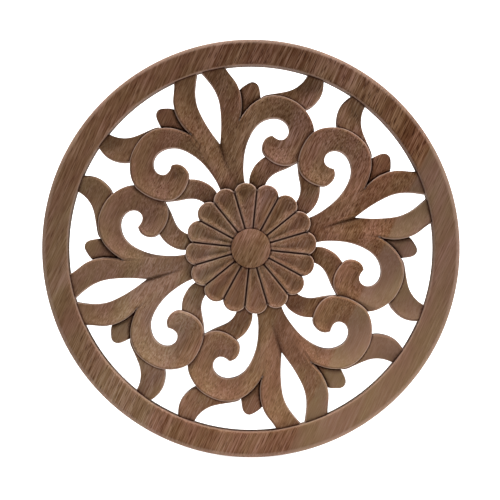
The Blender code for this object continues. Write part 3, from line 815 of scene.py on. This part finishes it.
# %% The tree that repeats a sector round the centre
def repeat_tree():
    """A tree that sets a sector on each of some points at the centre, each turned further."""
    tree = bpy.data.node_groups.new("repeat_round_centre", "GeometryNodeTree")
    for name, way, kind in (("Geometry", "INPUT", "Geometry"), ("Repeats", "INPUT", "Int"),
                            ("Material", "INPUT", "Material"), ("Geometry", "OUTPUT", "Geometry")):
        tree.interface.new_socket(name, in_out=way, socket_type="NodeSocket" + kind)
    new, link = tree.nodes.new, tree.links.new
    given, gives = new("NodeGroupInput"), new("NodeGroupOutput")
    points, number = new("GeometryNodePoints"), new("GeometryNodeInputIndex")
    share, angle = new("ShaderNodeMath"), new("ShaderNodeMath")
    share.operation, angle.operation = "DIVIDE", "MULTIPLY"
    angle.inputs[1].default_value = 2 * math.pi
    turn, rotation = new("ShaderNodeCombineXYZ"), new("FunctionNodeEulerToRotation")
    copies = new("GeometryNodeInstanceOnPoints")
    real, coat = new("GeometryNodeRealizeInstances"), new("GeometryNodeSetMaterial")
    link(given.outputs["Repeats"], points.inputs["Count"])
    link(number.outputs[0], share.inputs[0])
    link(given.outputs["Repeats"], share.inputs[1])
    link(share.outputs[0], angle.inputs[0])
    link(angle.outputs[0], turn.inputs["Y"])
    link(turn.outputs[0], rotation.inputs[0])
    link(points.outputs[0], copies.inputs["Points"])
    link(given.outputs["Geometry"], copies.inputs["Instance"])
    link(rotation.outputs[0], copies.inputs["Rotation"])
    link(copies.outputs[0], real.inputs[0])
    link(real.outputs[0], coat.inputs["Geometry"])
    link(given.outputs["Material"], coat.inputs["Material"])
    link(coat.outputs[0], gives.inputs[0])
    return tree


def through(tree, mesh, **values):
    """The mesh as it comes out of a tree, with the tree's named inputs set first."""
    carrier = bpy.data.objects.new("carrier", mesh)
    bpy.context.scene.collection.objects.link(carrier)
    modifier = carrier.modifiers.new("tree", "NODES")
    modifier.node_group = tree
    for item in tree.interface.items_tree:
        if item.in_out == "INPUT" and item.name in values:
            modifier[item.identifier] = values[item.name]
    bpy.context.view_layer.update()
    seen = carrier.evaluated_get(bpy.context.evaluated_depsgraph_get())
    made = bpy.data.meshes.new_from_object(seen)
    bpy.data.objects.remove(carrier, do_unlink=True)
    return made


wood = bpy.data.materials.new("raw_brown_wood")
wood.use_nodes = True
disc = through(repeat_tree(), quarter, Repeats=PALMETTES, Material=wood)
print(len(disc.polygons), "faces in", PALMETTES, "quarters")

# %% Seams merged
SEAM = 0.004
SHARP = math.radians(38)

solid = bmesh.new()
solid.from_mesh(disc)
bmesh.ops.remove_doubles(solid, verts=solid.verts, dist=SEAM * MM)
loose = sum(len(edge.link_faces) != 2 for edge in solid.edges)
print("volume", round(solid.calc_volume() * 1e6, 1), "cm3,", loose, "open edges")
solid.to_mesh(disc)
solid.free()
disc.shade_smooth()
disc.set_sharp_from_angle(angle=SHARP)
disc.name = "carved_disc"
carved_disc = bpy.data.objects.new("carved_disc", disc)
bpy.context.scene.collection.objects.link(carved_disc)
print(sum(len(face.vertices) - 2 for face in disc.polygons), "triangles in the disc")

# %% [markdown]
# ## Painted shade in deep hollows
#
# Light hardly reaches the places that lie well below all that stands round them, so they get
# painted shade. Distances to an edge can't tell how deep a place lies, so the heights are laid on a
# square grid and blurred there, and each point keeps how far it lies below the blurred surface.
# Only the deepest places are then painted darker, as shade.

# %% How deep each point lies below its surroundings
GRID = 0.5
GRID_MARGIN = 8
BLUR = 0.9
BELL_REACH = 4


def blurred(grid):
    cells_out = int(BELL_REACH * BLUR / GRID)
    bell = np.exp(-(np.arange(-cells_out, cells_out + 1) * GRID) ** 2 / (2 * BLUR ** 2))
    for axis in (0, 1):
        grid = np.apply_along_axis(np.convolve, axis, grid, bell, mode="same")
    return grid


co = np.empty(len(disc.vertices) * 3)
disc.vertices.foreach_get("co", co)
co = co.reshape(-1, 3) / MM
high = -co[:, 1]
front = high > 2 * BACK_ARRIS
cell = np.round((co[:, (0, 2)] + RING_OUTER) / GRID).astype(int) + GRID_MARGIN
cells = int(2 * RING_OUTER / GRID) + 2 * GRID_MARGIN + 1
total, count = np.zeros((cells, cells)), np.zeros((cells, cells))
np.add.at(total, tuple(cell[front].T), high[front])
np.add.at(count, tuple(cell[front].T), 1)
mean = np.where(count > 0, total / np.maximum(count, 1), 0)
level_round_it = blurred(mean) / np.maximum(blurred((count > 0) * 1.0), TINY)
hollow = np.where(front, level_round_it[tuple(cell.T)] - high, 0)
disc.attributes.new("hollow", "FLOAT", "POINT").data.foreach_set("value", hollow.astype(np.float32))
print("hollow runs from", in_mm(hollow.min()), "to", in_mm(hollow.max()))

# %% [markdown]
# ## Raw wood
#
# The board is glued up from staves about 66 mm wide, whose grain climbs steeply to the right. Each
# stave has its own tone, which differs a little between its upper and its lower half, and all are
# crossed by soft bands, fine fibres and short dark pores along the grain. The grain is bold on the
# middle staves and near the top, and faint on the stave at the right. A picture of wood could be
# laid on the front, but it would smear down the walls. So the pattern is solid: it is worked out
# from the place in the board, and a pore is a long dash on the flat ring and a dot where a scroll
# turns across the grain, as in the real one. The gloss is low, as raw wood has it.

# %% Nodes of the wood
wood_tree = wood.node_tree
shader = wood_tree.nodes["Principled BSDF"]


def rgba(color):
    """A colour, or one number for a grey, as a colour socket takes it."""
    return (*color, 1) if isinstance(color, tuple) else (color, color, color, 1)


def feed(socket, value):
    if isinstance(value, bpy.types.NodeSocket):
        wood_tree.links.new(value, socket)
    else:
        socket.default_value = value


def add(kind, *values, **settings):
    """A shader node with its settings made and its first inputs linked or set in order."""
    made = wood_tree.nodes.new("ShaderNode" + kind)
    for name, value in settings.items():
        setattr(made, name, value)
    for socket, value in zip(made.inputs, values):
        feed(socket, value)
    return made


def calc(operation, a, b=0.0, c=0.0, clamp=False):
    return add("Math", a, b, c, operation=operation, use_clamp=clamp).outputs[0]


def attribute(name):
    return add("Attribute", attribute_name=name).outputs["Fac"]


def ramp(value, *stops):
    """A colour that changes with the value. Each stop is a place and its colour."""
    made = add("ValToRGB", value)
    while len(made.color_ramp.elements) < len(stops):
        made.color_ramp.elements.new(0.5)
    for element, (place, color) in zip(made.color_ramp.elements, stops):
        element.position, element.color = place, rgba(color)
    return made.outputs[0]


def mixed(share, a, b):
    """Colour a where the share is 0, colour b where it is 1."""
    made = add("Mix", data_type="RGBA")
    for number, value in ((0, share), (6, a), (7, b)):
        feed(made.inputs[number], rgba(value) if isinstance(value, tuple) else value)
    return made.outputs[2]


def tinted(color, tint):
    return add("VectorMath", color, tint, operation="MULTIPLY").outputs[0]


print("the wood starts with", len(wood_tree.nodes), "nodes")

# %% Patterns drawn out along the grain
GRAIN_ANGLE = math.radians(65)

turned_board = add("Mapping", add("TexCoord").outputs["Object"])
turned_board.inputs["Rotation"].default_value = (0, GRAIN_ANGLE, 0)
in_grain = turned_board.outputs[0]


def stretched(along, across):
    """Place in the board with X along the grain, in cells of the given sizes in mm."""
    made = add("Mapping", in_grain)
    made.inputs["Scale"].default_value = [1 / (size * MM) for size in (along, across, across)]
    return made.outputs[0]


def noise(along, across, detail, roughness):
    made = add("TexNoise", stretched(along, across))
    made.inputs["Scale"].default_value = 1.0
    made.inputs["Detail"].default_value = detail
    made.inputs["Roughness"].default_value = roughness
    return made.outputs[0]


def pores(along, across, core, edge):
    """Dark marks, one in each cell: full out to the core, and gone from the edge on."""
    marks = add("TexVoronoi", stretched(along, across))
    marks.inputs["Scale"].default_value = 1.0
    return ramp(marks.outputs["Distance"], (core, 1), (edge, 0))


bands = noise(along=70, across=8, detail=3, roughness=0.55)
fibres = noise(along=16, across=0.6, detail=3, roughness=0.7)
blotches = noise(along=24, across=10, detail=2, roughness=0.5)
pore = pores(along=11, across=1.5, core=0.09, edge=0.19)
hair = pores(along=7, across=0.82, core=0.14, edge=0.36)
print("the grain runs at", round(math.degrees(GRAIN_ANGLE)), "degrees")

# %% Tone of each stave, and the whole board paler towards its foot
BOARD_WIDE = 2 * RING_OUTER
GLUE_WIDE = 0.003
GLUE_RIGHT, GLUE_MIDDLE, GLUE_LEFT = 0.213, 0.544, 0.874
TONE_CHANGE = 50.0
PALER_DOWN = 1.7
UPPER_TONES = (
    (GLUE_RIGHT, (0.81, 0.87, 0.90)), (GLUE_RIGHT + GLUE_WIDE, (0.80, 0.70, 0.60)),
    (0.29, (0.66, 0.55, 0.44)), (0.38, (0.78, 0.73, 0.68)),
    (GLUE_MIDDLE, (0.70, 0.66, 0.63)), (GLUE_MIDDLE + GLUE_WIDE, (0.67, 0.63, 0.58)),
    (0.80, (0.61, 0.56, 0.49)),
    (GLUE_LEFT, (0.65, 0.60, 0.55)), (GLUE_LEFT + GLUE_WIDE, (0.72, 0.69, 0.65)))
LOWER_TONES = (
    (0.10, (0.92, 1.02, 1.0)),
    (GLUE_RIGHT, (0.83, 0.90, 0.86)), (GLUE_RIGHT + GLUE_WIDE, (0.75, 0.69, 0.60)),
    (0.36, (0.79, 0.76, 0.69)),
    (GLUE_MIDDLE, (0.74, 0.72, 0.67)), (GLUE_MIDDLE + GLUE_WIDE, (0.80, 0.87, 0.87)),
    (0.70, (0.80, 0.88, 0.88)), (0.76, (0.65, 0.65, 0.62)),
    (GLUE_LEFT + GLUE_WIDE, (0.65, 0.70, 0.66)))

board_place = add("SeparateXYZ", in_grain)
across_board = calc("MULTIPLY_ADD", board_place.outputs["Z"], 1 / (BOARD_WIDE * MM), 0.5)
toward_top = calc("MULTIPLY_ADD", board_place.outputs["X"], 1 / (TONE_CHANGE * MM), 0.5, clamp=True)
stave = mixed(toward_top, ramp(across_board, *LOWER_TONES), ramp(across_board, *UPPER_TONES))
foot_light = calc("MULTIPLY_ADD", board_place.outputs["X"], -PALER_DOWN, 1.0)
print("a middle stave is", in_mm((GLUE_MIDDLE - GLUE_RIGHT) * BOARD_WIDE), "wide")

# %% How bold the grain is
TOP_BOLDER = 0.35
PLANED_BOLDER = 0.4
BOLDNESS = ((GLUE_RIGHT, 0.24), (GLUE_RIGHT + GLUE_WIDE, 0.82), (0.76, 0.82), (0.80, 0.55))

on_ring = attribute("on_ring")
boldness = ramp(across_board, *BOLDNESS)
boldness = calc("MULTIPLY", boldness, calc("MULTIPLY_ADD", toward_top, TOP_BOLDER, 1 - TOP_BOLDER))
boldness = calc("MULTIPLY", boldness, calc("MULTIPLY_ADD", on_ring, PLANED_BOLDER, 1.0))
hair, pore = calc("MULTIPLY", hair, boldness), calc("MULTIPLY", pore, boldness)
print("boldness across the board:", *[value for _, value in BOLDNESS])

# %% Colour of the clean wood
BAND_SHARE = 0.3
DARK_WOOD = (0.092, 0.034, 0.0105)
MIDDLE_WOOD = (0.197, 0.106, 0.063)
PALE_WOOD = (0.358, 0.227, 0.168)
HAIR_BROWN, HAIR_SHARE = (0.060, 0.019, 0.006), 0.85
PORE_BROWN, PORE_SHARE = (0.035, 0.010, 0.003), 0.7
OLIVE, PINKISH = (1.00, 1.05, 0.96), (1.06, 1.01, 1.11)
BLOTCH_CONTRAST = 4.0
RING_SHADE_AND_TONE = (0.85, 0.81, 0.79)

tone = calc("ADD", calc("MULTIPLY", bands, BAND_SHARE), calc("MULTIPLY", fibres, 1 - BAND_SHARE))
tone = calc("MULTIPLY_ADD", calc("SUBTRACT", tone, 0.5), boldness, 0.5)
color = ramp(tone, (0.36, DARK_WOOD), (0.5, MIDDLE_WOOD), (0.64, PALE_WOOD))
color = mixed(calc("MULTIPLY", hair, HAIR_SHARE), color, HAIR_BROWN)
color = mixed(calc("MULTIPLY", pore, PORE_SHARE), color, PORE_BROWN)
blotch = calc("MULTIPLY_ADD", calc("SUBTRACT", blotches, 0.5), BLOTCH_CONTRAST, 0.5, clamp=True)
# The ring is tinted a shade darker: partly painted shade, as its flat face takes little of the
# grazing lamps, and partly its darker grain.
for tint in (stave, foot_light, mixed(blotch, OLIVE, PINKISH), mixed(on_ring, (1, 1, 1), RING_SHADE_AND_TONE)):
    color = tinted(color, tint)
print(len(wood_tree.nodes), "nodes with the clean wood")

# %% Painted shade in grooves and hollows, and edges painted paler for wear and highlight
HOLLOW_LEAST = 0.5
HOLLOW_SHADE = 0.5
SHADE_BROWN = (0.020, 0.003, 0.001)
WORN_AND_HIGHLIT_WOOD, WORN_AND_HIGHLIT_SHARE = (0.51, 0.37, 0.30), 0.5

# Painted shade in the deepest hollows.
deep = calc("SUBTRACT", attribute("hollow"), HOLLOW_LEAST)
deep = calc("MULTIPLY", deep, HOLLOW_SHADE, clamp=True)
# The deepest hollows, the foot of each step and the petals' grooves get painted shade.
color = mixed(calc("MAXIMUM", deep, attribute("painted_shade")), color, SHADE_BROWN)
# Edges are painted paler: partly wear, partly painted highlight.
color = mixed(calc("MULTIPLY", attribute("worn_and_highlit"), WORN_AND_HIGHLIT_SHARE), color, WORN_AND_HIGHLIT_WOOD)
feed(shader.inputs["Base Color"], color)
shader.inputs["Roughness"].default_value = 0.62
shader.inputs["Specular IOR Level"].default_value = 0.05
print(len(wood_tree.nodes), "nodes with grooves and edges")

# %% Pores sunk and fibres raised
BUMP_DEPTH = 0.12
BUMP_SHARE = 0.5
HAIR_SUNK = 0.6
FIBRES_RAISED = 0.5

sunk_pores = calc("ADD", calc("MULTIPLY", pore, -1.0), calc("MULTIPLY", hair, -HAIR_SUNK))
bump = add("Bump")
bump.inputs["Strength"].default_value = BUMP_SHARE
bump.inputs["Distance"].default_value = BUMP_DEPTH * MM
feed(bump.inputs["Height"], calc("ADD", sunk_pores, calc("MULTIPLY", fibres, FIBRES_RAISED)))
feed(shader.inputs["Normal"], bump.outputs[0])
print(len(wood_tree.nodes), "nodes in the wood")

# %% The disc stands in for the CAD solid
disc.materials.clear()
disc.materials.append(wood)
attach(carved_disc, "root")
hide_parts("applique")
print(carved_disc.name, "has the material", disc.materials[0].name)

# %% [markdown]
# ## Stage, light and camera
#
# The photograph shows the disc upright before plain white, in soft light that comes mostly from
# above and a little from the right. It stands here on a round pale floor that curves up into a
# wall. White paper under the lamp would be the usual way, but it throws so much light back that
# the wood looks flat, and a grey shadow spreads at the foot. So the paper is a dull one with a
# glow of its own, weaker under the lamp, and floor and wall come out evenly white all the same.
# One wide lamp overhead gives the bright upper edges, a small one lifts the right side, and a
# faint sky fills the shadows.

# %% A round floor and its wall in one sweep
FLOOR = -RING_OUTER * MM
COVE = 1.3
BEND = 0.5
WALL_TOP = 3.0
COVE_SIDES = 64
PAPER = 0.3


def lathed(name, profile):
    """A pale sheet turned round the upright axis. Each ring is radius, height and own glow."""
    mesh = bpy.data.meshes.new(name)
    angles = np.arange(COVE_SIDES) * 2 * math.pi / COVE_SIDES
    corners = [(r * math.cos(a), r * math.sin(a), FLOOR + z) for r, z, _ in profile for a in angles]
    quads = []
    for low in range(0, len(corners) - COVE_SIDES, COVE_SIDES):
        up = low + COVE_SIDES
        for i, after in zip(range(COVE_SIDES), [*range(1, COVE_SIDES), 0]):
            quads.append((up + i, up + after, low + after, low + i))
    mesh.from_pydata(corners, [], quads)
    mesh.shade_smooth()
    glows = np.repeat([glow for _, _, glow in profile], COVE_SIDES).astype(np.float32)
    mesh.attributes.new("glow", "FLOAT", "POINT").data.foreach_set("value", glows)
    paper = bpy.data.materials.new(name)
    paper.use_nodes = True
    white = paper.node_tree.nodes["Principled BSDF"]
    white.inputs["Base Color"].default_value = (PAPER, PAPER, PAPER, 1)
    white.inputs["Roughness"].default_value = 0.9
    white.inputs["Emission Color"].default_value = (1, 1, 1, 1)
    own_glow = paper.node_tree.nodes.new("ShaderNodeAttribute")
    own_glow.attribute_name = "glow"
    paper.node_tree.links.new(own_glow.outputs["Fac"], white.inputs["Emission Strength"])
    mesh.materials.append(paper)
    sheet = bpy.data.objects.new(name, mesh)
    bpy.context.scene.collection.objects.link(sheet)
    return sheet


print("the floor lies", in_mm(-FLOOR / MM), "below the disc's centre")

# %% How much the floor and the wall glow
FLOOR_LIGHT = 1.7
LAMP_HEIGHT = 1.5
LAMP_POWER = 62
LEVEL_RINGS, BEND_RINGS = 12, 14
FIRST_RING = 0.001

lamp_above_floor = LAMP_HEIGHT - FLOOR
under_lamp = PAPER * LAMP_POWER / (math.pi * lamp_above_floor) ** 2
level_rings = []
for r in np.linspace(FIRST_RING, COVE, LEVEL_RINGS):
    from_lamp = under_lamp * (1 + (r / lamp_above_floor) ** 2) ** -2
    level_rings.append((r, 0.0, max(0.0, FLOOR_LIGHT - from_lamp)))
wall_rings = [(COVE + BEND * math.sin(a), BEND - BEND * math.cos(a), FLOOR_LIGHT)
              for a in np.linspace(0, math.pi / 2, BEND_RINGS)]
wall_rings.append((COVE + BEND, WALL_TOP, FLOOR_LIGHT))
lathed("pale_floor", level_rings)
wall = lathed("pale_backdrop", wall_rings)
wall.visible_diffuse = wall.visible_glossy = wall.visible_shadow = False
print("the floor glows from", round(level_rings[0][2], 2), "to", round(level_rings[-1][2], 2))

# %% Lamps and sky
SKY = 0.16


def lamp(name, place, size, power):
    """A square lamp that faces the middle of the disc."""
    light = bpy.data.lights.new(name, "AREA")
    light.size = size
    light.energy = power
    holder = bpy.data.objects.new(name, light)
    holder.location = place
    holder.rotation_euler = (-Vector(place)).to_track_quat("-Z", "Y").to_euler()
    bpy.context.scene.collection.objects.link(holder)


lamp("lamp_above", place=(-0.03, -0.18, LAMP_HEIGHT), size=0.7, power=LAMP_POWER)
lamp("lamp_right", place=(1.1, -0.2, -0.04), size=0.22, power=10)
sky = bpy.data.worlds.new("studio")
sky.use_nodes = True
sky.node_tree.nodes["Background"].inputs["Color"].default_value = (1, 1, 1, 1)
sky.node_tree.nodes["Background"].inputs["Strength"].default_value = SKY
bpy.context.scene.world = sky
bpy.context.scene.view_settings.view_transform = "Standard"
print(len(bpy.data.lights), "lamps and a sky of strength", SKY)

# %% Camera
PIXELS_PER_MM = 2.092
PHOTO_WIDE = 500
DISTANCE = 0.7
FOCUS_HEIGHT = 8.5
AIM_X, AIM_Z = -0.42, -0.78
SENSOR = 36

view = bpy.data.cameras.new("camera")
view.sensor_width = SENSOR
view.lens = SENSOR * DISTANCE / (PHOTO_WIDE / PIXELS_PER_MM * MM)
camera = bpy.data.objects.new("camera", view)
camera.location = (AIM_X * MM, -DISTANCE - FOCUS_HEIGHT * MM, AIM_Z * MM)
camera.rotation_euler = (math.pi / 2, 0, 0)
bpy.context.scene.collection.objects.link(camera)
bpy.context.scene.camera = camera
print("lens", round(view.lens, 1), "mm")
